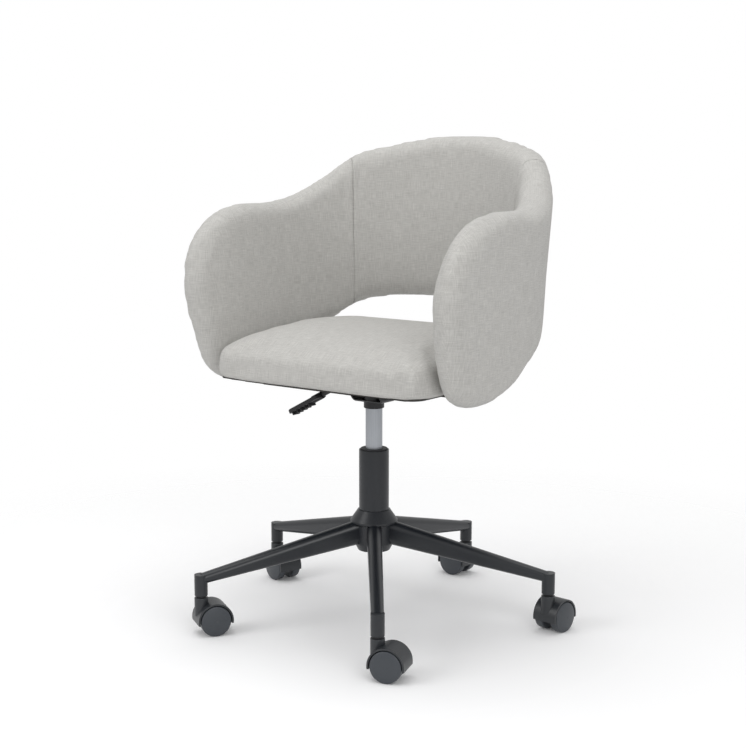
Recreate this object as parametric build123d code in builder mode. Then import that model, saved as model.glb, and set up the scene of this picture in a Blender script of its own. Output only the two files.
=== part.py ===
from build123d import *
import math
import os

# Swivel desk chair: upholstered tub on a gas lift and a five-leg castered base.
# Millimetres, +Z up. The origin is on the floor, on the swivel axis. The sitter faces -Y.

# ---- Driving dimensions -------------------------------------------------------------------

# Fits
slip_fit = 0.05            # radial gap round a pin or shaft that turns or slides
seat_fit = 0.03            # gap between curved faces that are pressed or glued together
wheel_gap = 0.8            # side play between a wheel and the caster body

# Casters
wheel_radius = 25.0
wheel_face = 21.0          # caster mid-plane to the outer edge of the tread
dome_height = 4.0          # how far the wheel's domed face stands past its tread
axle_radius = 3.0
web_half = 7.0             # half thickness of the caster body between its wheels
hood_gap = 1.6             # running gap between tread and hood
hood_wall = 2.8
hood_overhang = 10.0       # degrees that the hood reaches below the axle, front and back
trail = 19.0               # swivel axis to axle
neck_radius = 11.2
neck_rise = 8.1            # top of the neck above the hood
neck_depth = 30.0          # length of the caster's round neck
flange_radius = 8.0
stem_radius = 5.5
stem_length = 30.0         # part of the stem that is inside the leg's post
spigot_radius = 4.0        # lower end of the stem, which the caster turns on
spigot_length = 22.0
caster_headings = [18.0, 84.0, 176.0, 342.0, 58.0]   # where each caster trails, from +X

# Base
leg_count = 5
first_leg = -52.0          # degrees from +X
post_distance = 297.0      # swivel axis to post axis
post_radius = 10.8
post_gap = 3.5             # neck to the bottom of the leg's post
leg_root_size = (25.0, 42.0)
leg_root_height = 148.5    # middle of the leg's section where it leaves the hub
leg_tip_size = (20.0, 17.0)
leg_tip_rise = 27.0        # bottom of the post to the middle of the leg's section there
leg_wall = 2.0
hub_radius = 33.0
hub_bottom = 117.0
hub_top = 186.0
cap_radius = 39.5          # brim of the cone on top of the hub
cap_height = 20.0
hub_round = 12.0
leg_bed = 1.5              # metal left between a leg's root and the lift tube

# Gas lift
tube_radius = 25.0
tube_wall = 2.0
tube_bottom = 120.0
tube_top = 288.0
tube_floor = 4.0
sleeve_length = 66.0
sleeve_lip = 2.0
cylinder_radius = 14.0
cylinder_wall = 2.0
cylinder_bottom = 205.0
gland_length = 15.0
cone_start = 358.0
cone_length = 34.0
cone_taper = 0.7           # radius lost over the cone
plug_length = 47.0
rod_radius = 5.0
rod_tail = 8.0             # rod below the tube's floor
piston_length = 8.0
piston_top = 271.0
race_thickness = 2.0
race_radius = 18.0
ball_radius = 2.0
ball_count = 12
ball_circle = 12.0
seat_drop = 55.0           # how far the cylinder can slide down from this height
bumper_gap = 0.6           # left over the bumper when the cylinder is right down
bumper_radius = 13.0
clip_radius = 9.0
clip_thickness = 1.5
pin_radius = 4.0
pin_length = 18.0
pin_well = 6.0             # free depth under the release pin

# Seat mechanism
seat_underside = 410.0
plate_thickness = 2.5
plate_size = (170.0, 140.0)
channel_half_width = 31.0
channel_bottom = 369.0
channel_shoulder = 45.0    # half depth of the channel's side walls where they meet the plate
channel_round = 6.0        # bend at the foot of the channel's walls
socket_wall = 3.0
bolt_spacing = (140.0, 110.0)
bolt_radius = 3.0
bolt_head_radius = 5.5
bolt_head_height = 4.0
nut_barrel_radius = 4.2
nut_flange_radius = 9.0
nut_flange_height = 1.2

# Release lever
lever_radius = 4.0
lever_gap = 0.15           # free play over the release pin
lever_overreach = 7.0      # rod past the pin's centre
lever_bend = 46.0          # axis to the bend
lever_slope = 28.0         # degrees that the outer run falls
lever_run = 92.0           # length of the sloping run
lever_bend_radius = 14.0
lever_hole_gap = 0.35
handle_length = 78.0
handle_grip = 20.0         # how much of the rod is inside the handle
handle_width = 26.0
handle_thickness = 7.0
handle_boss_wall = 2.5
rib_height = 5.0
rib_thickness = 3.5
rib_count = 5
collar_radius = 7.5
collar_thickness = 2.0
collar_offset = 2.6        # clear of the channel wall when the lever tilts

# Seat
board_thickness = 12.0
board_inset = 9.0          # board edge to the outside of the cushion
cover_thickness = 2.0
cover_inset = 3.0
seat_gap = 1.5             # cushion to the tub's inner face at floor of the seat
seat_front = -174.0
seat_corner = 34.0
seat_front_bow = 6.0       # how far the front edge bows out between its corners
crown_front = 457.0
crown_middle = 491.0
crown_back = 470.0
cushion_round = 18.0
tongue_back = -8.0         # the board's side tongues, which carry the tub
tongue_front = -98.0

# Tub
tub_radius = 277.0         # outer radius at tub_datum
tub_datum = 560.0
tub_flare = 4.3            # degrees
tub_thickness = 54.0
tub_low = 380.0
tub_high = 830.0
frame_thickness = 12.0
rim_padding = 16.0         # foam between the frame's edge and the tub's rim
seam_angle = 46.0          # seams of the inner cover, each side of the middle of the back
reach_margin = 32.7        # how far the outline runs past the back of the tub
outline_steps = 36
frame_bolt_length = 52.0
barrel_radius = 4.5
barrel_back = 36.0         # barrel nut's distance from the end of the tongue

# ---- Derived sizes ------------------------------------------------------------------------

hood_inner = wheel_radius + hood_gap
hood_outer = hood_inner + hood_wall
neck_top = wheel_radius + hood_outer + neck_rise
post_bottom = neck_top + post_gap
leg_tip_height = post_bottom + leg_tip_rise
wheel_inner_face = web_half + wheel_gap
hood_half_width = wheel_face + 0.8
axle_half = wheel_face - 1.2
tub_flare_rate = math.tan(math.radians(tub_flare))
bore_radius = tube_radius - tube_wall
leg_root_distance = tube_radius + leg_bed
socket_radius = cylinder_radius + socket_wall
channel_foot = socket_radius   # half depth of the side walls at the bottom
lever_height = cone_start + cone_length + pin_length - pin_well * 2 + pin_radius + lever_gap
pivot_x = channel_half_width - plate_thickness / 2


def tub_radius_at(z):
    """Outer radius of the flared tub at a height."""
    return tub_radius + (z - tub_datum) * tub_flare_rate


tub_reach = tub_radius_at(tub_high) + reach_margin

# Outline of the tub seen from the side, as (y, z): under edge, front of the arm, top edge
tub_outline = [
    (tub_reach, 533.0),
    (183.0, 523.0),
    (80.0, 456.0),
    (-8.0, 404.0),
    (-66.0, 393.0),
    (-122.0, 408.0),
    (-158.0, 478.0),
    (-173.0, 560.0),
    (-144.0, 640.0),
    (-72.0, 684.0),
    (15.0, 690.0),
    (92.0, 704.0),
    (156.0, 744.0),
    (212.0, 783.0),
    (262.0, 804.0),
    (tub_reach, 808.0),
]

seat_radius = tub_radius_at(seat_underside) - tub_thickness - seat_gap
frame_outer_inset = (tub_thickness - frame_thickness) / 2
tongue_end = tub_radius_at(seat_underside) - frame_outer_inset - frame_thickness - 0.3
tongue_middle = (tongue_back + tongue_front) / 2
tongue_bolts = (tongue_back - tongue_front) / 2
pieces = {}


def heading(angle, distance=0.0, height=0.0):
    """A frame on the swivel axis turned to an angle, then moved out along it."""
    return Rot(0, 0, angle) * Pos(distance, 0, height)


# ---- Casters ------------------------------------------------------------------------------
# Modelled once with the swivel axis at the origin and the wheels trailing along +X.

with BuildPart() as caster_body:
    with BuildSketch(Plane.XZ):
        with Locations((trail, wheel_radius)):
            Circle(hood_outer)
            Circle(hood_inner, mode=Mode.SUBTRACT)
    extrude(amount=hood_half_width, both=True)
    with BuildSketch(Plane.XZ):
        with Locations((trail, wheel_radius)):
            Circle(hood_inner + hood_wall / 2)
    extrude(amount=web_half, both=True)
    skirt_drop = hood_outer * math.sin(math.radians(hood_overhang))
    with Locations((trail, 0, wheel_radius - skirt_drop)):
        Box(
            3 * hood_outer,
            3 * hood_half_width,
            2 * hood_outer,
            align=(Align.CENTER, Align.CENTER, Align.MAX),
            mode=Mode.SUBTRACT,
        )
    with BuildSketch(Plane.XY.offset(neck_top - neck_depth)):
        Circle(neck_radius)
    extrude(amount=neck_depth)
    fillet(caster_body.edges().filter_by(GeomType.CIRCLE).group_by(Axis.Z)[-1], 1.2)
    for side in (1, -1):
        with BuildSketch(Plane.XZ.offset(side * web_half)):
            with Locations((trail, wheel_radius)):
                Circle(hood_inner)
        extrude(amount=side * hood_half_width, mode=Mode.SUBTRACT)
    with BuildSketch(Plane.XY.offset(neck_top)):
        Circle(spigot_radius + slip_fit)
    extrude(amount=-spigot_length - 1, mode=Mode.SUBTRACT)
    with BuildSketch(Plane.XZ):
        with Locations((trail, wheel_radius)):
            Circle(axle_radius + seat_fit)
    extrude(amount=hood_half_width, both=True, mode=Mode.SUBTRACT)

with BuildPart() as caster_axle:
    with BuildSketch(Plane.XZ):
        with Locations((trail, wheel_radius)):
            Circle(axle_radius)
    extrude(amount=axle_half, both=True)
    chamfer(caster_axle.edges().filter_by(GeomType.CIRCLE), 0.5)

with BuildPart() as caster_wheel:
    with BuildSketch(Plane.YZ):
        with BuildLine():
            bore = axle_radius + slip_fit
            Polyline(
                (axle_half + 0.4, 0),
                (axle_half + 0.4, bore),
                (wheel_inner_face, bore),
                (wheel_inner_face, wheel_radius - 1.5),
                (wheel_inner_face + 1.5, wheel_radius),
                (wheel_face, wheel_radius),
            )
            rim = (wheel_face + 1.8, wheel_radius - 2.2)
            ThreePointArc(
                (wheel_face, wheel_radius),
                (wheel_face + 1.25, wheel_radius - 0.75),
                rim,
            )
            crown = (wheel_face + dome_height, 0)
            TangentArc(crown, rim, tangent=(0, 1))
            Line(crown, (axle_half + 0.4, 0))
        make_face()
    revolve(axis=Axis.Y)

with BuildPart() as caster_stem:
    with BuildSketch(Plane.XZ):
        with BuildLine():
            Polyline(
                (0, neck_top - spigot_length),
                (spigot_radius, neck_top - spigot_length),
                (spigot_radius, neck_top + 0.2),
                (flange_radius, neck_top + 0.2),
                (flange_radius, neck_top + 1.8),
                (stem_radius, neck_top + 1.8),
                (stem_radius, post_bottom + stem_length - 8),
                (stem_radius - 0.8, post_bottom + stem_length - 8),
                (stem_radius - 0.8, post_bottom + stem_length - 5),
                (stem_radius, post_bottom + stem_length - 5),
                (stem_radius, post_bottom + stem_length - 1),
                (stem_radius - 1, post_bottom + stem_length),
                (0, post_bottom + stem_length),
                close=True,
            )
        make_face()
    revolve(axis=Axis.Z)

for number, trail_heading in enumerate(caster_headings, start=1):
    post_angle = first_leg + 360 / leg_count * (number - 1)
    post = heading(post_angle, post_distance) * Rot(0, 0, trail_heading - post_angle)
    hub_of_wheel = post * Pos(trail, 0, wheel_radius)
    pieces[f"caster_body_{number}"] = post * caster_body.part
    pieces[f"caster_axle_{number}"] = post * caster_axle.part
    pieces[f"caster_stem_{number}"] = post * caster_stem.part
    pieces[f"wheel_{number}_left"] = hub_of_wheel * caster_wheel.part
    pieces[f"wheel_{number}_right"] = hub_of_wheel * Rot(0, 0, 180) * caster_wheel.part


# ---- Five-leg base ------------------------------------------------------------------------
# One leg, modelled along +X. The same tapering run, made larger, cuts its socket in the hub.

def leg_run(margin, start, end):
    """Tapering run with round sides, from the hub to the post, grown all round by margin."""
    with BuildPart() as run:
        for distance in (start, end):
            share = (distance - leg_root_distance) / (post_distance - leg_root_distance)
            wide = leg_root_size[0] + share * (leg_tip_size[0] - leg_root_size[0]) + 2 * margin
            tall = leg_root_size[1] + share * (leg_tip_size[1] - leg_root_size[1]) + 2 * margin
            level = leg_root_height + share * (leg_tip_height - leg_root_height)
            with BuildSketch(Plane.YZ.offset(distance)):
                with Locations((0, level)):
                    RectangleRounded(wide, tall, min(wide, tall) * 0.49)
        loft()
    return run.part


with BuildPart() as leg:
    add(leg_run(0, leg_root_distance, post_distance))
    with BuildSketch(Plane.XY.offset(post_bottom)):
        with Locations((post_distance, 0)):
            Circle(post_radius)
    extrude(amount=leg_tip_height + leg_tip_size[1] / 2 - post_bottom - 1)
    fillet(leg.faces().sort_by(Axis.Z)[-1].edges(), 3.0)
    add(
        leg_run(-leg_wall, leg_root_distance - 1, post_distance - post_radius - 4),
        mode=Mode.SUBTRACT,
    )
    with BuildSketch(Plane.XY.offset(post_bottom)):
        with Locations((post_distance, 0)):
            Circle(stem_radius + slip_fit)
    extrude(amount=stem_length + 0.5, mode=Mode.SUBTRACT)

with BuildPart() as base_hub:
    with BuildSketch(Plane.XZ):
        with BuildLine():
            brim = hub_top - cap_height
            Polyline(
                (tube_radius + seat_fit, hub_bottom),
                (hub_radius - hub_round / 2, hub_bottom),
                (hub_radius, hub_bottom + hub_round),
                (hub_radius, brim - 4),
                (cap_radius, brim - 1),
                (cap_radius, brim + 2),
                (tube_radius + 2, hub_top),
                (tube_radius + seat_fit, hub_top),
                close=True,
            )
        make_face()
    revolve(axis=Axis.Z)
    fillet(base_hub.edges().filter_by(GeomType.CIRCLE).group_by(Axis.Z)[1], 4.0)
    for number in range(leg_count):
        add(
            heading(first_leg + 360 / leg_count * number)
            * leg_run(seat_fit, leg_root_distance - 0.1, hub_radius + cap_radius),
            mode=Mode.SUBTRACT,
        )

pieces["base_hub"] = base_hub.part
for number in range(leg_count):
    pieces[f"leg_{number + 1}"] = heading(first_leg + 360 / leg_count * number) * leg.part


# ---- Gas lift: parts that stay with the base -----------------------------------------------

with BuildPart() as lift_tube:
    with BuildSketch(Plane.XY.offset(tube_bottom)):
        Circle(tube_radius)
    extrude(amount=tube_top - tube_bottom)
    with BuildSketch(Plane.XY.offset(tube_bottom + tube_floor)):
        Circle(bore_radius)
    extrude(amount=tube_top - tube_bottom, mode=Mode.SUBTRACT)
    with BuildSketch(Plane.XY.offset(tube_bottom)):
        Circle(rod_radius + slip_fit)
    extrude(amount=tube_floor, mode=Mode.SUBTRACT)
    fillet(lift_tube.edges().filter_by(GeomType.CIRCLE).sort_by(Axis.Z)[-2:], 0.8)

with BuildPart() as guide_sleeve:
    with BuildSketch(Plane.XY.offset(tube_top - sleeve_length)):
        Circle(bore_radius - seat_fit)
        Circle(cylinder_radius + slip_fit, mode=Mode.SUBTRACT)
    extrude(amount=sleeve_length)
    with BuildSketch(Plane.XY.offset(tube_top)):
        Circle(bore_radius - 0.5)
        Circle(cylinder_radius + slip_fit, mode=Mode.SUBTRACT)
    extrude(amount=sleeve_lip)
    fillet(guide_sleeve.edges().filter_by(GeomType.CIRCLE).group_by(Axis.Z)[-1], 0.6)

race_floor = tube_bottom + tube_floor
with BuildPart() as lower_race:
    with BuildSketch(Plane.XY.offset(race_floor)):
        Circle(race_radius)
        Circle(rod_radius + 1, mode=Mode.SUBTRACT)
    extrude(amount=race_thickness)

ball_level = race_floor + race_thickness + ball_radius + slip_fit / 2
with BuildPart() as bearing_balls:
    with PolarLocations(ball_circle, ball_count):
        with Locations((0, 0, ball_level)):
            Sphere(ball_radius)

with BuildPart() as ball_cage:
    with BuildSketch(Plane.XY.offset(ball_level - 0.5)):
        Circle(race_radius - 2)
        Circle(rod_radius + 1.5, mode=Mode.SUBTRACT)
        with PolarLocations(ball_circle, ball_count):
            Circle(ball_radius + slip_fit, mode=Mode.SUBTRACT)
    extrude(amount=1)

pieces["lift_tube"] = lift_tube.part
pieces["guide_sleeve"] = guide_sleeve.part
pieces["lower_race"] = lower_race.part
pieces["bearing_balls"] = bearing_balls.part
pieces["ball_cage"] = ball_cage.part


# ---- Gas lift: rod, which turns on the bearing ----------------------------------------------

race_level = ball_level + ball_radius + slip_fit / 2
with BuildPart() as piston_rod:
    with BuildSketch(Plane.XY.offset(tube_bottom - rod_tail)):
        Circle(rod_radius)
    extrude(amount=piston_top - tube_bottom + rod_tail)
    with BuildSketch(Plane.XY.offset(piston_top - piston_length)):
        Circle(cylinder_radius - cylinder_wall - slip_fit)
    extrude(amount=piston_length)
    with BuildSketch(Plane.XY.offset(tube_bottom - clip_thickness - slip_fit)):
        Circle(rod_radius)
        Circle(rod_radius - 1, mode=Mode.SUBTRACT)
    extrude(amount=clip_thickness, mode=Mode.SUBTRACT)
    chamfer(piston_rod.edges().filter_by(GeomType.CIRCLE).sort_by(Axis.Z)[0], 0.8)

with BuildPart() as retaining_clip:
    with BuildSketch(Plane.XY.offset(tube_bottom - clip_thickness - slip_fit)):
        Circle(clip_radius)
        Circle(rod_radius - 1 + seat_fit, mode=Mode.SUBTRACT)
        with Locations((clip_radius, 0)):
            Rectangle(2 * clip_radius, rod_radius, mode=Mode.SUBTRACT)
    extrude(amount=clip_thickness)

with BuildPart() as upper_race:
    with BuildSketch(Plane.XY.offset(race_level)):
        Circle(race_radius)
        Circle(rod_radius + seat_fit, mode=Mode.SUBTRACT)
    extrude(amount=race_thickness)

with BuildPart() as rubber_bumper:
    with BuildSketch(Plane.XY.offset(race_level + race_thickness)):
        Circle(bumper_radius)
        Circle(rod_radius + seat_fit, mode=Mode.SUBTRACT)
    extrude(amount=cylinder_bottom - seat_drop - bumper_gap - race_level - race_thickness)
    fillet(rubber_bumper.edges().filter_by(GeomType.CIRCLE).sort_by(Axis.Z)[-1], 2.0)

pieces["piston_rod"] = piston_rod.part
pieces["retaining_clip"] = retaining_clip.part
pieces["upper_race"] = upper_race.part
pieces["rubber_bumper"] = rubber_bumper.part


# ---- Gas lift: cylinder, which slides up the rod --------------------------------------------

cone_end = cone_start + cone_length
with BuildPart() as gas_cylinder:
    with BuildSketch(Plane.XZ):
        with BuildLine():
            Polyline(
                (0, cylinder_bottom),
                (cylinder_radius - 1, cylinder_bottom),
                (cylinder_radius, cylinder_bottom + 1),
                (cylinder_radius, cone_start),
                (cylinder_radius - cone_taper, cone_end),
                (0, cone_end),
                close=True,
            )
        make_face()
    revolve(axis=Axis.Z)
    with BuildSketch(Plane.XY.offset(cylinder_bottom + gland_length)):
        Circle(cylinder_radius - cylinder_wall)
    extrude(amount=cone_end - plug_length - cylinder_bottom - gland_length, mode=Mode.SUBTRACT)
    with BuildSketch(Plane.XY.offset(cylinder_bottom)):
        Circle(rod_radius + slip_fit)
    extrude(amount=gland_length, mode=Mode.SUBTRACT)
    with BuildSketch(Plane.XY.offset(cone_end)):
        Circle(pin_radius + slip_fit)
    extrude(amount=-2 * pin_well - 6, mode=Mode.SUBTRACT)

with BuildPart() as release_pin:
    with BuildSketch(Plane.XY.offset(cone_end - 2 * pin_well)):
        Circle(pin_radius)
    extrude(amount=pin_length - pin_radius)
    with Locations((0, 0, cone_end - 2 * pin_well + pin_length - pin_radius)):
        Sphere(pin_radius)

with BuildPart() as taper_socket:
    with BuildSketch(Plane.XZ):
        with BuildLine():
            Polyline(
                (cylinder_radius + seat_fit, cone_start),
                (socket_radius - 0.8, cone_start),
                (socket_radius, cone_start + 0.8),
                (socket_radius, cone_end - 1),
                (cylinder_radius - cone_taper + seat_fit, cone_end - 1),
                close=True,
            )
        make_face()
    revolve(axis=Axis.Z)

pieces["gas_cylinder"] = gas_cylinder.part
pieces["release_pin"] = release_pin.part
pieces["taper_socket"] = taper_socket.part


# ---- Seat mechanism -------------------------------------------------------------------------

plate_bottom = seat_underside - plate_thickness
channel_height = plate_bottom - channel_bottom
with BuildPart() as channel:
    with BuildSketch(Plane.YZ):
        with BuildLine():
            Polyline(
                (-channel_shoulder, plate_bottom),
                (-channel_foot, channel_bottom),
                (channel_foot, channel_bottom),
                (channel_shoulder, plate_bottom),
                close=True,
            )
        make_face()
    extrude(amount=channel_half_width, both=True)
    with BuildSketch(Plane.XZ):
        with Locations((0, channel_bottom)):
            Rectangle(2 * channel_half_width, 2 * channel_height, align=(Align.CENTER, Align.MIN))
        fillet(vertices().group_by(Axis.Z)[0], channel_round)
    extrude(amount=channel_shoulder, both=True, mode=Mode.INTERSECT)

with BuildPart() as mechanism_plate:
    add(channel.part)
    with BuildSketch(Plane.XY.offset(plate_bottom)):
        RectangleRounded(plate_size[0], plate_size[1], 12)
    extrude(amount=plate_thickness)
    inner_half = channel_half_width - plate_thickness
    with BuildSketch(Plane.XZ):
        with Locations((0, channel_bottom + plate_thickness)):
            Rectangle(2 * inner_half, 2 * channel_height, align=(Align.CENTER, Align.MIN))
        fillet(vertices().group_by(Axis.Z)[0], channel_round - plate_thickness)
    extrude(amount=channel_shoulder + 1, both=True, mode=Mode.SUBTRACT)
    with BuildSketch(Plane.XY.offset(channel_bottom - 1)):
        Circle(socket_radius + seat_fit)
    extrude(amount=plate_thickness + 2, mode=Mode.SUBTRACT)
    with BuildSketch(Plane.XY.offset(plate_bottom)):
        with GridLocations(bolt_spacing[0], bolt_spacing[1], 2, 2):
            Circle(bolt_radius + 0.3)
    extrude(amount=plate_thickness, mode=Mode.SUBTRACT)
    with BuildSketch(Plane.YZ.offset(-channel_half_width - 1)):
        with Locations((0, lever_height)):
            Circle(lever_radius + lever_hole_gap)
    extrude(amount=plate_thickness + 2, mode=Mode.SUBTRACT)
    with BuildSketch(Plane.XY.offset(plate_bottom)):
        with Locations((-channel_half_width, 0)):
            Rectangle(plate_size[0], 2 * collar_radius + 2, align=(Align.MAX, Align.CENTER))
    extrude(amount=plate_thickness, mode=Mode.SUBTRACT)

with BuildPart() as mechanism_bolts:
    for spot in GridLocations(bolt_spacing[0], bolt_spacing[1], 2, 2):
        with BuildSketch(Plane.XY.offset(plate_bottom) * spot):
            RegularPolygon(bolt_head_radius, 6)
        extrude(amount=-bolt_head_height)
        with BuildSketch(Plane.XY.offset(plate_bottom) * spot):
            Circle(bolt_radius)
        extrude(amount=plate_thickness + board_thickness)

with BuildPart() as tee_nuts:
    for spot in GridLocations(bolt_spacing[0], bolt_spacing[1], 2, 2):
        with BuildSketch(Plane.XY.offset(seat_underside + 2) * spot):
            Circle(nut_barrel_radius)
            Circle(bolt_radius + seat_fit, mode=Mode.SUBTRACT)
        extrude(amount=board_thickness - 2)
        with BuildSketch(Plane.XY.offset(seat_underside + board_thickness) * spot):
            Circle(nut_flange_radius)
            Circle(bolt_radius + seat_fit, mode=Mode.SUBTRACT)
        extrude(amount=nut_flange_height)

pieces["mechanism_plate"] = mechanism_plate.part
pieces["mechanism_bolts"] = mechanism_bolts.part
pieces["tee_nuts"] = tee_nuts.part


# ---- Release lever --------------------------------------------------------------------------
# Its inner end lies over the release pin, and it tips in the hole in the channel's wall.

slope = math.radians(lever_slope)
bend = Vector(-lever_bend, 0, lever_height)
outward = Vector(-math.cos(slope), 0, -math.sin(slope))
lever_tip = bend + outward * lever_run

with BuildPart() as lever_rod:
    with BuildLine():
        FilletPolyline(
            (lever_overreach, 0, lever_height),
            bend,
            lever_tip,
            radius=lever_bend_radius,
        )
    with BuildSketch(Plane((lever_overreach, 0, lever_height), z_dir=(-1, 0, 0))):
        Circle(lever_radius)
    sweep()

handle_plane = Plane(
    lever_tip - outward * handle_grip,
    x_dir=outward,
    z_dir=Vector(0, 0, 1) - outward * outward.Z,
)
with BuildPart() as lever_handle:
    with BuildSketch(handle_plane.offset(-handle_thickness / 2)):
        with Locations((handle_length / 2, 0)):
            RectangleRounded(handle_length, handle_width, 9)
    extrude(amount=handle_thickness)
    fillet(lever_handle.faces().sort_by(Axis(handle_plane.origin, handle_plane.z_dir))[-1].edges(), 2.4)
    with BuildSketch(Plane(handle_plane.origin, z_dir=outward)):
        Circle(lever_radius + handle_boss_wall)
    extrude(amount=handle_grip + handle_boss_wall)
    with BuildSketch(handle_plane.offset(-handle_thickness / 2)):
        for number in range(rib_count):
            with Locations((handle_length - 8 - number * 10, 0)):
                RectangleRounded(rib_thickness, handle_width - 8 - 2 * (number % 2), 1.2)
    extrude(amount=-rib_height)
    with BuildSketch(Plane(handle_plane.origin, z_dir=outward)):
        Circle(lever_radius + seat_fit)
    extrude(amount=handle_grip + 0.5, mode=Mode.SUBTRACT)

with BuildPart() as lever_collars:
    for face_x, way in ((-pivot_x - collar_offset, -1), (-pivot_x + collar_offset, 1)):
        with BuildSketch(Plane.YZ.offset(face_x)):
            with Locations((0, lever_height)):
                Circle(min(collar_radius, seat_underside - lever_height - 1))
                Circle(lever_radius + seat_fit, mode=Mode.SUBTRACT)
        extrude(amount=way * collar_thickness)

pieces["lever_rod"] = lever_rod.part
pieces["lever_handle"] = lever_handle.part
pieces["lever_collars"] = lever_collars.part


# ---- Seat -----------------------------------------------------------------------------------

def seat_plan(inset):
    """Sketch of the seat's D-shaped plan, drawn in from its edge by inset."""
    corner = seat_corner - inset
    side = seat_radius - inset
    front = seat_front + inset
    half = side - corner * 0.55
    with BuildSketch() as plan:
        with BuildLine():
            Line((side, 0), (side, front + corner))
            tangent_side = ThreePointArc(
                (side, front + corner),
                (side - corner * 0.2, front + corner * 0.42),
                (half, front + 3),
            )
            ThreePointArc(tangent_side @ 1, (0, front - seat_front_bow), (-half, front + 3))
            ThreePointArc(
                (-half, front + 3),
                (-side + corner * 0.2, front + corner * 0.42),
                (-side, front + corner),
            )
            Line((-side, front + corner), (-side, 0))
            ThreePointArc((-side, 0), (0, side), (side, 0))
        make_face()
    return plan.sketch


tongue_level = seat_underside + board_thickness / 2
bolt_face = tub_radius_at(tongue_level) - frame_outer_inset

with BuildPart() as frame_bolts:
    for side in (1, -1):
        for y in (tongue_middle - tongue_bolts / 2, tongue_middle + tongue_bolts / 2):
            with BuildSketch(Plane.YZ.offset(side * (bolt_face - 1))):
                with Locations((y, tongue_level)):
                    Circle(bolt_head_radius)
            extrude(amount=side * bolt_head_height)
            with BuildSketch(Plane.YZ.offset(side * (bolt_face - 1))):
                with Locations((y, tongue_level)):
                    Circle(bolt_radius)
            extrude(amount=-side * frame_bolt_length)

with BuildPart() as barrel_nuts:
    for side in (1, -1):
        for y in (tongue_middle - tongue_bolts / 2, tongue_middle + tongue_bolts / 2):
            with BuildSketch(Plane.XY.offset(seat_underside + 1)):
                with Locations((side * (tongue_end - barrel_back), y)):
                    Circle(barrel_radius)
            extrude(amount=board_thickness - 2)
    add(frame_bolts.part, mode=Mode.SUBTRACT)

with BuildPart() as seat_board:
    with BuildSketch(Plane.XY.offset(seat_underside)):
        add(seat_plan(board_inset))
        with Locations((0, tongue_middle)):
            Rectangle(2 * tongue_end, tongue_back - tongue_front)
    extrude(amount=board_thickness)
    fillet(seat_board.edges().filter_by(Axis.Z).group_by(Axis.X)[0], 3)
    with BuildSketch(Plane.XY.offset(seat_underside)):
        with GridLocations(bolt_spacing[0], bolt_spacing[1], 2, 2):
            Circle(nut_barrel_radius + seat_fit)
    extrude(amount=board_thickness, mode=Mode.SUBTRACT)
    add(frame_bolts.part, mode=Mode.SUBTRACT)
    add(barrel_nuts.part, mode=Mode.SUBTRACT)

with BuildPart() as dust_cover:
    with BuildSketch(Plane.XY.offset(seat_underside)):
        add(seat_plan(cover_inset))
        RectangleRounded(plate_size[0] + 6, plate_size[1] + 6, 15, mode=Mode.SUBTRACT)
    extrude(amount=-cover_thickness)

with BuildPart() as seat_cushion:
    with BuildSketch(Plane.XY.offset(seat_underside)):
        add(seat_plan(0))
    extrude(amount=crown_middle - seat_underside + 5)
    with BuildSketch(Plane.YZ):
        with BuildLine():
            far = seat_radius + 60
            crown = ThreePointArc(
                (seat_front - 30, crown_front),
                (0, crown_middle),
                (seat_radius, crown_back),
            )
            Polyline(
                crown @ 1,
                (far, crown_back - 10),
                (far, seat_underside),
                (seat_front - 30, seat_underside),
                crown @ 0,
            )
        make_face()
    extrude(amount=2 * seat_radius, both=True, mode=Mode.INTERSECT)
    fillet(seat_cushion.faces().sort_by(Axis.Z)[-1].edges(), cushion_round)
    with BuildSketch(Plane.XY.offset(seat_underside)):
        add(seat_plan(board_inset - seat_fit))
        with Locations((0, tongue_middle)):
            Rectangle(2.2 * seat_radius, tongue_back - tongue_front + 0.5)
    extrude(amount=board_thickness, mode=Mode.SUBTRACT)
    with BuildSketch(Plane.XY.offset(seat_underside + board_thickness)):
        with GridLocations(bolt_spacing[0], bolt_spacing[1], 2, 2):
            Circle(nut_flange_radius + 0.5)
    extrude(amount=nut_flange_height + 1, mode=Mode.SUBTRACT)


# ---- Tub ------------------------------------------------------------------------------------

def flared_plan(inset):
    """The tub's flaring D-shaped plan as a solid, drawn in from its outer face by inset.

    The back is a cone on the swivel axis, and the sides run straight forward from it.
    """
    low = tub_radius_at(tub_low) - inset
    high = tub_radius_at(tub_high) - inset
    with BuildPart() as solid:
        with BuildSketch(Plane.XZ):
            Polygon((0, tub_low), (low, tub_low), (high, tub_high), (0, tub_high), align=None)
        revolve(axis=Axis.Z)
        with BuildSketch(Plane.XZ):
            Polygon(
                (-low, tub_low),
                (low, tub_low),
                (high, tub_high),
                (-high, tub_high),
                align=None,
            )
        extrude(amount=tub_reach)
    return solid.part


def tub_side(inset):
    """The tub's outline from the side, drawn in by inset and run right across the chair."""
    outer_edge = Spline(tub_outline, tangents=((-1, 0), (1, 0)))
    points = []
    for step in range(outline_steps + 1):
        spot = outer_edge.position_at(step / outline_steps)
        along = outer_edge.tangent_at(step / outline_steps)
        points.append((spot.X + inset * along.Y, spot.Y - inset * along.X))
    with BuildPart() as solid:
        with BuildSketch(Plane.YZ.offset(-2 * tub_radius)):
            with BuildLine():
                edge = Spline(points, tangents=((-1, 0), (1, 0)))
                Line(edge @ 1, edge @ 0)
            make_face()
        extrude(amount=4 * tub_radius)
    return solid.part


def tub_wall(outer_inset, thickness, rim_inset):
    """Part of the tub's wall: a layer between two insets, with its rim drawn in."""
    layer = flared_plan(outer_inset) - flared_plan(outer_inset + thickness)
    return layer & tub_side(rim_inset)


with BuildPart() as tub_frame:
    add(tub_wall(frame_outer_inset, frame_thickness, rim_padding))
    add(frame_bolts.part, mode=Mode.SUBTRACT)

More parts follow.
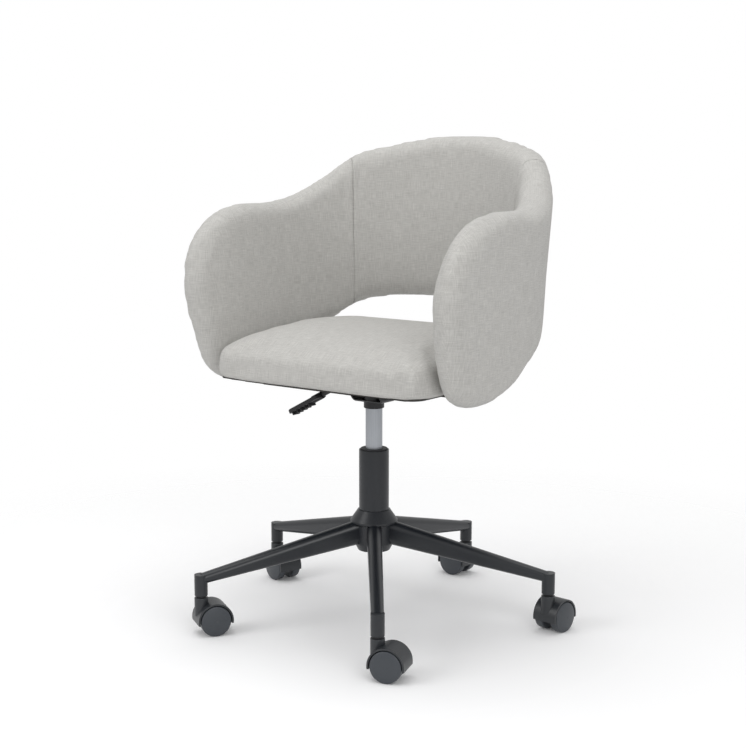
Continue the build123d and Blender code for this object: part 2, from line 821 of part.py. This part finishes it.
with BuildPart() as seam_wedge:
    with BuildSketch(Plane.XY.offset(tub_low)):
        reach = tub_reach * math.tan(math.radians(seam_angle))
        Polygon((0, 0), (reach, tub_reach), (-reach, tub_reach), align=None)
    extrude(amount=tub_high - tub_low)

with BuildPart() as tub_padding:
    add(tub_wall(0, tub_thickness, 0))
    add(frame_bolts.part, mode=Mode.SUBTRACT)
    for side in (1, -1):
        with BuildSketch(Plane.XY.offset(seat_underside - seat_fit)):
            with Locations((side * tongue_end, tongue_middle)):
                Rectangle(tub_thickness, tongue_back - tongue_front + 2 * seat_fit)
        extrude(amount=board_thickness + 2 * seat_fit, mode=Mode.SUBTRACT)
    add(tub_frame.part, mode=Mode.SUBTRACT)

with BuildPart() as back_pad:
    add(tub_padding.part)
    add(seam_wedge.part, mode=Mode.INTERSECT)

with BuildPart() as arm_pads:
    add(tub_padding.part)
    add(seam_wedge.part, mode=Mode.SUBTRACT)

right_arm, left_arm = arm_pads.solids().sort_by(Axis.X)

pieces["seat_board"] = seat_board.part
pieces["dust_cover"] = dust_cover.part
pieces["seat_cushion"] = seat_cushion.part
pieces["tub_frame"] = tub_frame.part
pieces["frame_bolts"] = frame_bolts.part
pieces["barrel_nuts"] = barrel_nuts.part
pieces["back_pad"] = back_pad.part
pieces["left_arm_pad"] = Part() + left_arm
pieces["right_arm_pad"] = Part() + right_arm


# ---- Files ----------------------------------------------------------------------------------

os.makedirs("parts", exist_ok=True)
for label, piece in pieces.items():
    piece.label = label
    export_step(piece, f"parts/{label}.step")
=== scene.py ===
# %% [markdown]
# # Swivel tub chair on casters
# The chair is a padded tub with a seat, on a gas lift and a base with five legs.
# The CAD model holds its frame, its mechanism and its casters, and everything that moves.
# This lesson loads that model as a fixed frame, makes the soft upholstery around it, and gives
# every piece its finish. All lengths are in metres.

# %% Load the frame
import math

import bpy
import numpy as np
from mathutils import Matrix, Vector


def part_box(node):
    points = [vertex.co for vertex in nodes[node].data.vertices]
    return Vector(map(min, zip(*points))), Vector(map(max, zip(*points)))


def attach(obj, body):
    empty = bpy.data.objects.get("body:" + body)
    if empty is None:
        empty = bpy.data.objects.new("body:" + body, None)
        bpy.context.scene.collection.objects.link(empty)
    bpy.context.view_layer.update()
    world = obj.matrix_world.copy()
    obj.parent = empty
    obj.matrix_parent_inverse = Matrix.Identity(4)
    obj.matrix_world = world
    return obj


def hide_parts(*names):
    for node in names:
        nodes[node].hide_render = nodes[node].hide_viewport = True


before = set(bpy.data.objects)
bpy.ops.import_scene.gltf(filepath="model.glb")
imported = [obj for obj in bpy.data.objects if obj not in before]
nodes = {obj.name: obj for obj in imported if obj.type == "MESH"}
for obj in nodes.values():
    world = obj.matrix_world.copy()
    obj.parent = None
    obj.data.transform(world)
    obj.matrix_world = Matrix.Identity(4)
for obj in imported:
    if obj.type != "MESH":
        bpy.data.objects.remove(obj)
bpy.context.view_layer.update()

# %% [markdown]
# ## Camera
# The camera looks at the swivel axis, from in front and to the chair's left, a little from above.
# A long lens from over two metres keeps the legs and the tub in natural proportion. The camera
# could be aimed with a constraint, but a rotation given by two angles, a turn and a drop, is
# plainer.

# %% Place the camera
MM = 0.001
aim_height = 414.2 * MM
camera_distance = 2413.2 * MM
camera_turn = math.radians(36.96)
view_turn = math.radians(37.0)
view_drop = math.radians(8.87)
lens_mm = 71.1

camera_rise = camera_distance * math.tan(view_drop)
camera_data = bpy.data.cameras.new("camera")
camera_data.lens = lens_mm
camera = bpy.data.objects.new("camera", camera_data)
camera.location = (
    camera_distance * math.sin(camera_turn),
    -camera_distance * math.cos(camera_turn),
    aim_height + camera_rise,
)
camera.rotation_euler = (math.pi / 2 - view_drop, 0, view_turn)
bpy.context.scene.collection.objects.link(camera)
bpy.context.scene.camera = camera
print("camera at", [round(value, 3) for value in camera.location])

# %% [markdown]
# ## Light
# The light is that of a product studio. Two large soft lamps in front light the inside of the
# tub from both sides, and one overhead lights the seat and the floor. A dim white room fills
# the shadows. What is behind the chair is plain white, so the room has its own strength for
# rays that come straight from the camera. The Standard view keeps pale cloth as it is.

# %% Light the scene
chair_middle = Vector((0, 0, 0.5))


def soft_lamp(name, spot, size, power):
    """A square lamp at a spot, turned to face the middle of the chair."""
    data = bpy.data.lights.new(name, "AREA")
    data.size = size
    data.energy = power
    lamp = bpy.data.objects.new(name, data)
    lamp.location = spot
    toward = chair_middle - lamp.location
    lamp.rotation_euler = toward.to_track_quat("-Z", "Y").to_euler()
    bpy.context.scene.collection.objects.link(lamp)
    return lamp


left_lamp = soft_lamp("left_lamp", (-1.3, -2.5, 1.9), 1.6, 25)
right_lamp = soft_lamp("right_lamp", (2.4, -1.5, 1.5), 1.6, 24)
top_lamp = soft_lamp("top_lamp", (-0.2, 0.2, 2.8), 2.2, 27)
room_light = 0.65
room_white = 1.0

world = bpy.data.worlds.new("studio")
world.use_nodes = True
room = world.node_tree
rays = room.nodes.new("ShaderNodeLightPath")
strength = room.nodes.new("ShaderNodeMapRange")
strength.inputs["To Min"].default_value = room_light
strength.inputs["To Max"].default_value = room_white
room.links.new(rays.outputs["Is Camera Ray"], strength.inputs["Value"])
room.links.new(strength.outputs["Result"], room.nodes["Background"].inputs["Strength"])
room.nodes["Background"].inputs["Color"].default_value = (1, 1, 1, 1)
bpy.context.scene.world = world
bpy.context.scene.view_settings.view_transform = "Standard"
print("lamps:", left_lamp.name, right_lamp.name, top_lamp.name)

# %% [markdown]
# ## Shader sums
# A finish is a small sum of patterns, so it is easiest to read as a sum. The class below wraps
# one socket of a node tree. Adding or multiplying such wires adds Math nodes, and `node` adds
# any other node: first its settings, then the values or wires of its sockets.

# %% Wrap sockets for shader sums
class Wire:
    """A socket in a material's node tree that can stand in a Python sum."""

    def __init__(self, tree, socket=None):
        self.tree = tree
        self.socket = socket

    def node(self, kind, settings=None, sockets=None, output=0):
        """Adds a node and returns one of its outputs."""
        made = self.tree.nodes.new(kind)
        for name, value in (settings or {}).items():
            setattr(made, name, value)
        for name, value in (sockets or {}).items():
            self.feed(made.inputs[name], value)
        return Wire(self.tree, made.outputs[output])

    def feed(self, target, value):
        """Sets a socket to a number or colour, or links a wire to it."""
        if isinstance(value, Wire):
            self.tree.links.new(value.socket, target)
        else:
            target.default_value = value

    def sum(self, operation, first, second=0.0):
        return self.node("ShaderNodeMath", {"operation": operation}, {0: first, 1: second})

    def __add__(self, other):
        return self.sum("ADD", self, other)

    def __sub__(self, other):
        return self.sum("SUBTRACT", self, other)

    def __mul__(self, other):
        return self.sum("MULTIPLY", self, other)

    def __rsub__(self, other):
        return self.sum("SUBTRACT", other, self)

    __radd__ = __add__
    __rmul__ = __mul__

    def sine(self):
        return self.sum("SINE", self)

    def between(self, low, high):
        """0 below low, 1 above high, and even in between."""
        return self.node(
            "ShaderNodeMapRange",
            {"clamp": True},
            {"Value": self, "From Min": low, "From Max": high},
        )


def new_finish(name):
    """A material with a Principled shader, as (material, shader, wire to start sums from)."""
    material = bpy.data.materials.new(name)
    material.use_nodes = True
    tree = material.node_tree
    return material, tree.nodes["Principled BSDF"], Wire(tree)


def mixed(start, amount, first, second):
    """A colour between two colours."""
    return start.node(
        "ShaderNodeMix",
        {"data_type": "RGBA"},
        {"Factor": amount, 6: first, 7: second},
        output=2,
    )


def noise(start, place, scale, detail=2.0):
    """Soft random spots, scale of them to a metre."""
    sockets = {"Vector": place, "Scale": scale, "Detail": detail}
    return start.node("ShaderNodeTexNoise", None, sockets)


def stretched(start, place, stretch):
    """A place whose pattern is drawn out along the axes with the smaller numbers."""
    return start.node("ShaderNodeMapping", None, {"Vector": place, "Scale": stretch})


def bumped(start, shader, height, depth):
    """Feeds a height pattern to the shader's normal, for a relief of that depth."""
    sockets = {"Height": height, "Distance": depth, "Strength": 1.0}
    bump = start.node("ShaderNodeBump", None, sockets)
    start.feed(shader.inputs["Normal"], bump)


print("shader sums ready")

# %% [markdown]
# ## Linen
# The cover is a plain weave of slubby yarn in a warm light grey. Thick places in the yarn run
# along both thread directions and show as short pale and dark streaks. The pattern follows the
# surface, so each cover has a UV map in metres, named cloth. The weave itself is a product of
# two sines, which gives threads that pass over and under each other.

# %% Make the linen
thread_pitch = 1.1 * MM
linen_pale = (0.62, 0.61, 0.583, 1)
linen_dark = (0.42, 0.412, 0.392, 1)
weft_stretch = (55, 900, 1)
warp_stretch = (900, 55, 1)
linen_relief = 0.00035


def linen_finish():
    """Grey linen: a fine weave, slubs along both threads and a soft mottle."""
    material, shader, start = new_finish("linen_cloth")
    cloth = start.node("ShaderNodeUVMap", {"uv_map": "cloth"})
    across = start.node("ShaderNodeSeparateXYZ", None, {0: cloth}, output=0)
    along = start.node("ShaderNodeSeparateXYZ", None, {0: cloth}, output=1)
    turns = 2 * math.pi / thread_pitch
    wander = noise(start, cloth, 90, 1.0) * 0.9
    weave = (across * turns + wander).sine() * (along * turns + wander).sine()
    weft_slubs = noise(start, stretched(start, cloth, weft_stretch), 1.0, 1.5)
    warp_slubs = noise(start, stretched(start, cloth, warp_stretch), 1.0, 1.5)
    fine_yarn = noise(start, cloth, 1100, 1.0)
    mottle = noise(start, cloth, 38, 2.0)
    streaks = weft_slubs.between(0.36, 0.66) * 0.5 + warp_slubs.between(0.36, 0.66) * 0.5
    shade = streaks * 0.55 + fine_yarn * 0.2 + mottle * 0.2 + weave * 0.07
    colour = mixed(start, shade.between(0.12, 0.8), linen_dark, linen_pale)
    start.feed(shader.inputs["Base Color"], colour)
    start.feed(shader.inputs["Roughness"], 1.0 - streaks * 0.12)
    shader.inputs["Specular IOR Level"].default_value = 0.25
    shader.inputs["Sheen Weight"].default_value = 0.22
    shader.inputs["Sheen Roughness"].default_value = 0.45
    relief = weave * 0.5 + weft_slubs * 0.9 + warp_slubs * 0.9
    bumped(start, shader, relief, linen_relief)
    return material


linen = linen_finish()
print("linen with", round(0.01 / thread_pitch), "threads to a centimetre")

# %% [markdown]
# ## Hard finishes
# The hard pieces have moulded plastic, powder coat, bare and plated metal, rubber and plywood.
# Each finish has the grain of its making: the fine pebble of a mould, the orange peel of a
# coating, the turning marks of a ground rod. They read Object coordinates, because the CAD
# pieces have no UV map, and their objects stay at the origin.

# %% Make the hard finishes
def moulded(name, colour, lighter, roughness, grain=700, depth=0.00008, metallic=0.0, coat=0.0):
    """Plastic or coating: two close shades, uneven gloss and a fine pebbled relief."""
    material, shader, start = new_finish(name)
    place = start.node("ShaderNodeTexCoord", output=3)
    cloud = noise(start, place, 14, 3.0)
    pebble = noise(start, place, grain, 2.0)
    colour_mix = mixed(start, (cloud * 0.7 + pebble * 0.3).between(0.3, 0.7), colour, lighter)
    start.feed(shader.inputs["Base Color"], colour_mix)
    start.feed(shader.inputs["Roughness"], cloud * 0.1 + pebble * 0.08 + (roughness - 0.09))
    shader.inputs["Metallic"].default_value = metallic
    shader.inputs["Coat Weight"].default_value = coat
    shader.inputs["Coat Roughness"].default_value = 0.3
    bumped(start, shader, pebble, depth)
    return material


metal_relief = 0.00003


def drawn_metal(name, colour, lighter, roughness, stretch, metallic=1.0):
    """Metal with fine marks drawn out along the axes with the smaller stretch numbers."""
    material, shader, start = new_finish(name)
    place = start.node("ShaderNodeTexCoord", output=3)
    marks = noise(start, stretched(start, place, stretch), 1.0, 3.0)
    cloud = noise(start, place, 30, 2.0)
    start.feed(shader.inputs["Base Color"], mixed(start, marks.between(0.3, 0.7), colour, lighter))
    start.feed(shader.inputs["Roughness"], marks * 0.12 + cloud * 0.08 + (roughness - 0.1))
    shader.inputs["Metallic"].default_value = metallic
    bumped(start, shader, marks, metal_relief)
    return material


ply_pair = 2.4 * MM          # from one glue line to the next


def plywood_finish():
    """Birch plywood stained black: grain on the faces and thin glue lines on the edges."""
    material, shader, start = new_finish("plywood")
    place = start.node("ShaderNodeTexCoord", output=3)
    grain = noise(start, stretched(start, place, (120, 9, 600)), 1.0, 4.0)
    height = start.node("ShaderNodeSeparateXYZ", None, {0: place}, output=2)
    plies = (height * (2 * math.pi / ply_pair)).sine().between(0.7, 1.0)
    figure = grain.between(0.3, 0.7)
    stain = mixed(start, figure, (0.016, 0.014, 0.012, 1), (0.032, 0.028, 0.024, 1))
    glued = mixed(start, plies * 0.5, stain, (0.006, 0.005, 0.004, 1))
    start.feed(shader.inputs["Base Color"], glued)
    start.feed(shader.inputs["Roughness"], grain * 0.2 + 0.55)
    bumped(start, shader, grain, 0.0001)
    return material


def lining_finish():
    """Spun-bond lining: matted fibres, dull black, with a faint pattern of pressed dots."""
    material, shader, start = new_finish("black_lining")
    place = start.node("ShaderNodeTexCoord", output=3)
    fibres = noise(start, stretched(start, place, (500, 180, 500)), 1.0, 4.0)
    dots = start.node("ShaderNodeTexVoronoi", None, {"Vector": place, "Scale": 420})
    shade = fibres.between(0.3, 0.75)
    blacks = mixed(start, shade, (0.006, 0.006, 0.007, 1), (0.03, 0.03, 0.032, 1))
    start.feed(shader.inputs["Base Color"], blacks)
    start.feed(shader.inputs["Roughness"], 0.98 - fibres * 0.15)
    bumped(start, shader, fibres * 0.6 + dots * 0.4, 0.0002)
    return material


finishes = {
    "base_coating": moulded(
        "base_coating", (0.006, 0.008, 0.011, 1), (0.011, 0.013, 0.017, 1), 0.34, coat=0.1
    ),
    "caster_plastic": moulded(
        "caster_plastic", (0.012, 0.014, 0.017, 1), (0.020, 0.023, 0.027, 1), 0.38, coat=0.1
    ),
    "wheel_nylon": moulded(
        "wheel_nylon", (0.030, 0.035, 0.042, 1), (0.042, 0.048, 0.057, 1), 0.45, coat=0.1
    ),
    "black_plastic": moulded(
        "black_plastic", (0.008, 0.008, 0.009, 1), (0.014, 0.014, 0.016, 1), 0.5
    ),
    "bumper_rubber": moulded(
        "bumper_rubber", (0.010, 0.010, 0.010, 1), (0.016, 0.016, 0.016, 1), 0.82, grain=1100
    ),
    "black_steel": moulded(
        "black_steel", (0.007, 0.007, 0.008, 1), (0.013, 0.013, 0.015, 1), 0.38, grain=1300
    ),
    "satin_chrome": drawn_metal(
        "satin_chrome", (0.40, 0.42, 0.45, 1), (0.47, 0.49, 0.52, 1), 0.34, (900, 900, 14), 0.75
    ),
    "bearing_steel": drawn_metal(
        "bearing_steel", (0.50, 0.50, 0.52, 1), (0.62, 0.62, 0.64, 1), 0.24, (40, 40, 900)
    ),
    "zinc_steel": drawn_metal(
        "zinc_steel", (0.48, 0.50, 0.53, 1), (0.60, 0.62, 0.64, 1), 0.38, (200, 200, 200)
    ),
    "plywood": plywood_finish(),
    "black_lining": lining_finish(),
    "linen_cloth": linen,
}

# The model's caster stems are bare steel. Here they are blackened, as the rest of the base is.
for name, node in nodes.items():
    for place in node.material_slots:
        blackened = name.startswith("caster_stem")
        place.material = finishes["black_steel" if blackened else place.material.name]
print("finishes on the CAD nodes:", ", ".join(sorted(finishes)))

# %% [markdown]
# ## Tools for soft pieces
# A padded piece starts as a copy of a CAD solid. Its mesh is made even by a voxel remesh, and
# its corners are eased by smoothing. Then the Cloth modifier blows it up a little, with its
# seams pinned, as foam fills a cover. The helpers below do each of these steps.

# %% Select, copy and remesh
merge_distance = 0.00001


def alone(piece):
    """Selects one piece and nothing else."""
    bpy.ops.object.select_all(action="DESELECT")
    piece.select_set(True)
    bpy.context.view_layer.objects.active = piece


def copied(name, *names):
    """One new piece with the merged meshes of these CAD nodes."""
    bpy.ops.object.select_all(action="DESELECT")
    parts = []
    for source in names:
        part = bpy.data.objects.new(name, nodes[source].data.copy())
        bpy.context.scene.collection.objects.link(part)
        part.select_set(True)
        parts.append(part)
    bpy.context.view_layer.objects.active = parts[0]
    if len(parts) > 1:
        bpy.ops.object.join()
    piece = bpy.context.view_layer.objects.active
    bpy.ops.object.mode_set(mode="EDIT")
    bpy.ops.mesh.select_all(action="SELECT")
    bpy.ops.mesh.remove_doubles(threshold=merge_distance)
    bpy.ops.object.mode_set(mode="OBJECT")
    return piece


def finish_modifier(piece, name):
    """Applies one modifier of a piece."""
    alone(piece)
    bpy.ops.object.modifier_apply(modifier=name)


def remeshed(piece, voxel):
    """Gives a closed piece an even mesh of squares."""
    even = piece.modifiers.new("even", "REMESH")
    even.mode = "VOXEL"
    even.voxel_size = voxel
    finish_modifier(piece, "even")


def smoothed(piece, rounds):
    """Eases the corners: each round moves every point half way to its neighbours."""
    ease = piece.modifiers.new("ease", "SMOOTH")
    ease.iterations = rounds
    ease.factor = 0.5
    finish_modifier(piece, "ease")


def points_of(piece):
    """The places of a piece's points, as an array."""
    flat = np.zeros(len(piece.data.vertices) * 3)
    piece.data.vertices.foreach_get("co", flat)
    return flat.reshape(-1, 3)


def move_points(piece, points):
    """Puts a piece's points at new places."""
    piece.data.vertices.foreach_set("co", points.ravel())
    piece.data.update()


print("tools for soft pieces ready")

# %% [markdown]
# Cloth with air pressure swells without limit, so how far a point may move is capped. A soft
# cap is used: small moves stay as they are and large ones come up to the limit gently, which
# leaves no flat spots.

# %% Fill a cover
simulation_frames = 20
air_pressure = 4.0


def filled(piece, pinned, limit):
    """Swells a closed cover with Cloth, with pinned points held and moves capped at limit."""
    start = points_of(piece)
    seams = piece.vertex_groups.new(name="seams")
    seams.add([int(index) for index in np.nonzero(pinned)[0]], 1.0, "REPLACE")
    cloth = piece.modifiers.new("air", "CLOTH")
    cloth.settings.use_pressure = True
    cloth.settings.uniform_pressure_force = air_pressure
    cloth.settings.vertex_group_mass = "seams"
    cloth.settings.effector_weights.gravity = 0
    cloth.point_cache.frame_end = simulation_frames
    for number in range(1, simulation_frames + 1):
        bpy.context.scene.frame_set(number)
    finish_modifier(piece, "air")
    bpy.context.scene.frame_set(1)
    moves = points_of(piece) - start
    lengths = np.linalg.norm(moves, axis=1, keepdims=True) + 1e-9
    move_points(piece, start + moves / lengths * limit * np.tanh(lengths / limit))
    piece.vertex_groups.clear()
    print(piece.name, "swelled by up to", round(float(lengths.max()) / MM, 1), "mm before the cap")


def subdivided(piece):
    """Doubles the mesh's fineness, with a smooth surface."""
    finer = piece.modifiers.new("finer", "SUBSURF")
    finer.levels = 1
    finer.render_levels = 1
    finish_modifier(piece, "finer")
    bpy.ops.object.shade_smooth()


print("cloth runs for", simulation_frames, "frames")

# %% [markdown]
# The weave follows a UV map in metres. Each face of a cover is laid flat along the two
# directions that it faces least, so threads keep their size everywhere. On the tub these
# directions are round the axis, up, and away from the axis. On the seat they are X, Y and Z.

# %% Lay cloth on a piece
def lay_cloth(piece, round_axis):
    """Writes the cloth map, for a piece bent round the axis or a plain one, and gives it linen."""
    mesh = piece.data
    points = points_of(piece)
    facing = np.zeros(len(mesh.polygons) * 3)
    mesh.polygons.foreach_get("normal", facing)
    facing = facing.reshape(-1, 3)
    centre = np.zeros(len(mesh.polygons) * 3)
    mesh.polygons.foreach_get("center", centre)
    centre = centre.reshape(-1, 3)
    if round_axis:
        reach = np.hypot(points[:, 0], points[:, 1])
        turn = np.arctan2(points[:, 0], points[:, 1])
        spread = np.column_stack([turn * reach.mean(), reach, points[:, 2]])
        outward = centre[:, :2] / np.linalg.norm(centre[:, :2], axis=1, keepdims=True)
        away = (facing[:, :2] * outward).sum(1)
        tangent = facing[:, 0] * outward[:, 1] - facing[:, 1] * outward[:, 0]
        strength = np.abs(np.column_stack([tangent, away, facing[:, 2]]))
    else:
        spread = points
        strength = np.abs(facing)
    flat_axes = np.array([(1, 2), (0, 2), (0, 1)])[strength.argmax(1)]
    sizes = np.zeros(len(mesh.polygons), int)
    mesh.polygons.foreach_get("loop_total", sizes)
    corner_points = np.zeros(len(mesh.loops), int)
    mesh.loops.foreach_get("vertex_index", corner_points)
    corner_axes = np.repeat(flat_axes, sizes, axis=0)
    corners = spread[corner_points]
    rows = np.arange(len(corners))
    laid = np.column_stack([corners[rows, corner_axes[:, 0]], corners[rows, corner_axes[:, 1]]])
    layer = mesh.uv_layers.new(name="cloth")
    layer.uv.foreach_set("vector", laid.ravel())
    mesh.materials.clear()
    mesh.materials.append(linen)


def upholster(piece, round_axis, fill, *names):
    """Finishes a padded piece: cloth, body, and the CAD nodes that it stands for."""
    lay_cloth(piece, round_axis)
    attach(piece, "seat")
    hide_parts(*names)
    print(piece.name, "has", len(piece.data.polygons), "faces")


# %% [markdown]
# ## Tub
# On the real chair, foam of even thickness is glued over a bent plywood frame, so the rims come
# out fully round. The same is done here: a copy of the frame is swollen and remeshed, which
# closes its bolt holes, and Shrinkwrap sets every point one foam thickness off the frame.
# Smoothing takes the last of the flat top off the rims.

# %% Wrap foam round the tub's frame
rim_foam = 17.5 * MM
tub_voxel = 6.0 * MM
first_puff = 9 * MM
rim_rounds = 7
swell = 1.3 * MM             # how far the filling pushes the cloth out

tub = copied("tub", "tub_frame")
remeshed(tub, tub_voxel)
puff = tub.modifiers.new("puff", "DISPLACE")
puff.strength = first_puff
puff.mid_level = 0.0
finish_modifier(tub, "puff")
remeshed(tub, tub_voxel)
wrap = tub.modifiers.new("wrap", "SHRINKWRAP")
wrap.target = nodes["tub_frame"]
wrap.wrap_method = "NEAREST_SURFACEPOINT"
wrap.wrap_mode = "ON_SURFACE"
wrap.offset = rim_foam
finish_modifier(tub, "wrap")
smoothed(tub, rim_rounds)
tub_top = round(points_of(tub)[:, 2].max(), 4)
print("tub shell:", len(tub.data.vertices), "points, top at", tub_top)

# %% [markdown]
# The foam is thicker on the faces than on the rims, so the wall is spread to its full thickness
# about its middle surface. That surface is a cone round the back and a flat, leaning plane on
# each side. The cover is pulled down harder along the top of the back, and its lower hem hangs
# a little below the foam.

# %% Spread the wall and settle the hems
tub_radius = 277 * MM        # outer radius at the datum height
tub_datum = 560 * MM
tub_flare = math.tan(math.radians(4.3))
frame_half = 6 * MM
wall_half = 27 * MM
fullness = 1 * MM
crest_pull = 6 * MM          # how far the cover is pulled down along the top of the back
crest_turns = (15, 25)       # degrees from the middle of the back where the pull fades
crest_heights = (0.70, 0.78)
hem_length = 13 * MM         # how far the hem hangs down at the back
hem_growth = 0.25            # the hem hangs lower towards the arms, up to hem_reach
hem_back = 175 * MM
hem_reach = 40 * MM
hem_fade = (0.04, 0.135)     # forward of this the hem ends
hem_heights = (0.53, 0.59)


def eased(values, low, high):
    """0 below low, 1 above high, with a smooth change in between."""
    share = np.clip((values - low) / (high - low), 0, 1)
    return share * share * (3 - 2 * share)


points = points_of(tub)
reach = np.hypot(points[:, 0], np.maximum(points[:, 1], 0))
middle = tub_radius - wall_half + (points[:, 2] - tub_datum) * tub_flare
growth = (wall_half + fullness - swell) / (frame_half + rim_foam)
spread = (middle + (reach - middle) * growth) / reach
points[:, 0] *= spread
points[:, 1] *= np.where(points[:, 1] > 0, spread, 1)

turn = np.degrees(np.abs(np.arctan2(points[:, 0], points[:, 1])))
near_crest = eased(-turn, -crest_turns[1], -crest_turns[0])
pulled_down = crest_pull * near_crest * eased(points[:, 2], *crest_heights)
ahead = np.clip(hem_back - points[:, 1], 0, hem_reach)
hem_drop = (hem_length + hem_growth * ahead) * eased(points[:, 1], *hem_fade)
near_hem = eased(-points[:, 2], -hem_heights[1], -hem_heights[0])
points[:, 2] -= pulled_down + hem_drop * near_hem
move_points(tub, points)
print("tub top at", round(points[:, 2].max(), 4), "and its front at", round(points[:, 1].min(), 4))

# %% [markdown]
# The cover is sewn from a back panel and two arm panels. Their seams run up the tub at equal
# angles from the middle of the back. The shell is cut there with Bisect, and each cut is
# closed, so that every panel can be filled like a cushion and the cloth dips at the seams.

# %% Cut the tub into panels
seam_turn = math.radians(46)
seam_crease = 0.85


def cut_at(piece, turn, keep_outer):
    """Cuts a piece at a plane through the axis and keeps one side, with the cut closed."""
    alone(piece)
    bpy.ops.object.mode_set(mode="EDIT")
    bpy.ops.mesh.select_all(action="SELECT")
    across = (math.cos(turn), -math.sin(turn), 0)
    bpy.ops.mesh.bisect(
        plane_co=(0, 0, 0),
        plane_no=across,
        use_fill=True,
        clear_inner=keep_outer,
        clear_outer=not keep_outer,
    )
    bpy.ops.transform.edge_crease(value=seam_crease)
    bpy.ops.object.mode_set(mode="OBJECT")


def panel(name):
    """A copy of the whole shell, to cut a panel from."""
    piece = bpy.data.objects.new(name, tub.data.copy())
    bpy.context.scene.collection.objects.link(piece)
    return piece


back_cover = panel("back_cover")
cut_at(back_cover, seam_turn, keep_outer=False)
cut_at(back_cover, -seam_turn, keep_outer=True)
right_arm_cover = panel("right_arm_cover")
cut_at(right_arm_cover, seam_turn, keep_outer=True)
left_arm_cover = panel("left_arm_cover")
cut_at(left_arm_cover, -seam_turn, keep_outer=False)
bpy.data.objects.remove(tub)
for piece in (back_cover, right_arm_cover, left_arm_cover):
    print(piece.name, len(piece.data.vertices), "points")

# %% [markdown]
# Each panel is filled with its seam edges held. A seam edge is told by how near it lies to the
# cutting planes. The cloth may swell only a little, because the foam is glued to the frame.

# %% Fill and upholster the panels
seam_reach = 3 * MM
panel_room = swell + 0.5 * MM
tub_fill = 0.85


def near_seam(piece):
    """The points of a panel that lie on a seam."""
    points = points_of(piece)
    found = np.zeros(len(points), bool)
    for turn in (seam_turn, -seam_turn):
        offset = points[:, 0] * math.cos(turn) - points[:, 1] * math.sin(turn)
        ahead = points[:, 0] * math.sin(turn) + points[:, 1] * math.cos(turn)
        found |= (np.abs(offset) < seam_reach) & (ahead > 0)
    return found


for piece, replaced in (
    (back_cover, "back_pad"),
    (right_arm_cover, "right_arm_pad"),
    (left_arm_cover, "left_arm_pad"),
):
    filled(piece, near_seam(piece), panel_room)
    subdivided(piece)
    upholster(piece, True, tub_fill, replaced)

# %% [markdown]
# ## Seat
# The seat is a thick block of foam on a board, under a cover that is pulled down and stapled
# to the board. Its top is a little crowned and its edges are soft. The copy joins the CAD
# cushion and board, with the board's tongues trimmed at the sides. It is remeshed, smoothed
# and filled, with its flat underside held, and then the top falls away towards its edges.

# %% Make the seat
seat_low, seat_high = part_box("seat_cushion")
seat_voxel = 6.0 * MM
edge_rounds = 14
crown_rounds = 4
held_band = 4 * MM
crown_room = 7 * MM
edge_fall = 11 * MM
fall_shares = (0.45, 1.05)   # where the top starts and ends its fall, from middle to edge
seat_fill = 0.8

seat_cover = copied("seat_cover", "seat_cushion", "seat_board")
for side in (1, -1):
    alone(seat_cover)
    bpy.ops.object.mode_set(mode="EDIT")
    bpy.ops.mesh.select_all(action="SELECT")
    bpy.ops.mesh.bisect(
        plane_co=(side * seat_high.x, 0, 0),
        plane_no=(side, 0, 0),
        use_fill=True,
        clear_outer=True,
    )
    bpy.ops.object.mode_set(mode="OBJECT")
remeshed(seat_cover, seat_voxel)
smoothed(seat_cover, edge_rounds)
on_board = points_of(seat_cover)[:, 2] < seat_low.z + held_band
filled(seat_cover, on_board, crown_room)
points = points_of(seat_cover)
upper = eased(points[:, 2], seat_low.z, seat_high.z)
sideways = np.abs(points[:, 0]) / seat_high.x
endways = np.abs(points[:, 1]) / abs(seat_low.y)
outward = np.maximum(sideways, endways)
points[:, 2] -= edge_fall * eased(outward, *fall_shares) * upper
move_points(seat_cover, points)
smoothed(seat_cover, crown_rounds)
subdivided(seat_cover)
upholster(seat_cover, False, seat_fill, "seat_cushion")

# %% [markdown]
# Under the seat, a thin black lining hides the board and the edges of the cover. It is a copy
# of the CAD lining, drawn in towards the middle of the seat, so that only a narrow line of it
# shows past the cover's hem.

# %% Make the lining
lining_share = 0.93
lining_voxel = 3.0 * MM

lining = copied("seat_lining", "dust_cover")
remeshed(lining, lining_voxel)
points = points_of(lining)
points[:, :2] *= lining_share
move_points(lining, points)
lining.data.materials.clear()
lining.data.materials.append(finishes["black_lining"])
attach(lining, "seat")
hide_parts("dust_cover")
print("lining with", len(lining.data.polygons), "faces")

# %% [markdown]
# ## Floor
# A plain pale floor carries the shadow. It is a round sheet whose edge fades out, so that it
# runs into the white of the room without a line.

# %% Lay the floor
floor_reach = 1.3
fade_start = 0.45
fade_end = 1.25
floor_dull = (0.93, 0.93, 0.935, 1)
floor_bright = (0.95, 0.95, 0.955, 1)

bpy.ops.object.select_all(action="DESELECT")
bpy.ops.mesh.primitive_circle_add(vertices=96, radius=floor_reach, fill_type="NGON")
floor = bpy.context.view_layer.objects.active
floor.name = "floor"
floor_paint, floor_shader, floor_start = new_finish("floor_paper")
floor_place = floor_start.node("ShaderNodeTexCoord", output=3)
floor_shade = noise(floor_start, floor_place, 1.5, 2.0)
floor_away = floor_start.node(
    "ShaderNodeVectorMath", {"operation": "LENGTH"}, {0: floor_place}, output=1
)
floor_paper = mixed(floor_start, floor_shade, floor_dull, floor_bright)
floor_start.feed(floor_shader.inputs["Base Color"], floor_paper)
floor_start.feed(floor_shader.inputs["Alpha"], 1 - floor_away.between(fade_start, fade_end))
floor_shader.inputs["Roughness"].default_value = 0.9
floor.data.materials.append(floor_paint)
print("floor", 2 * floor_reach, "m wide")
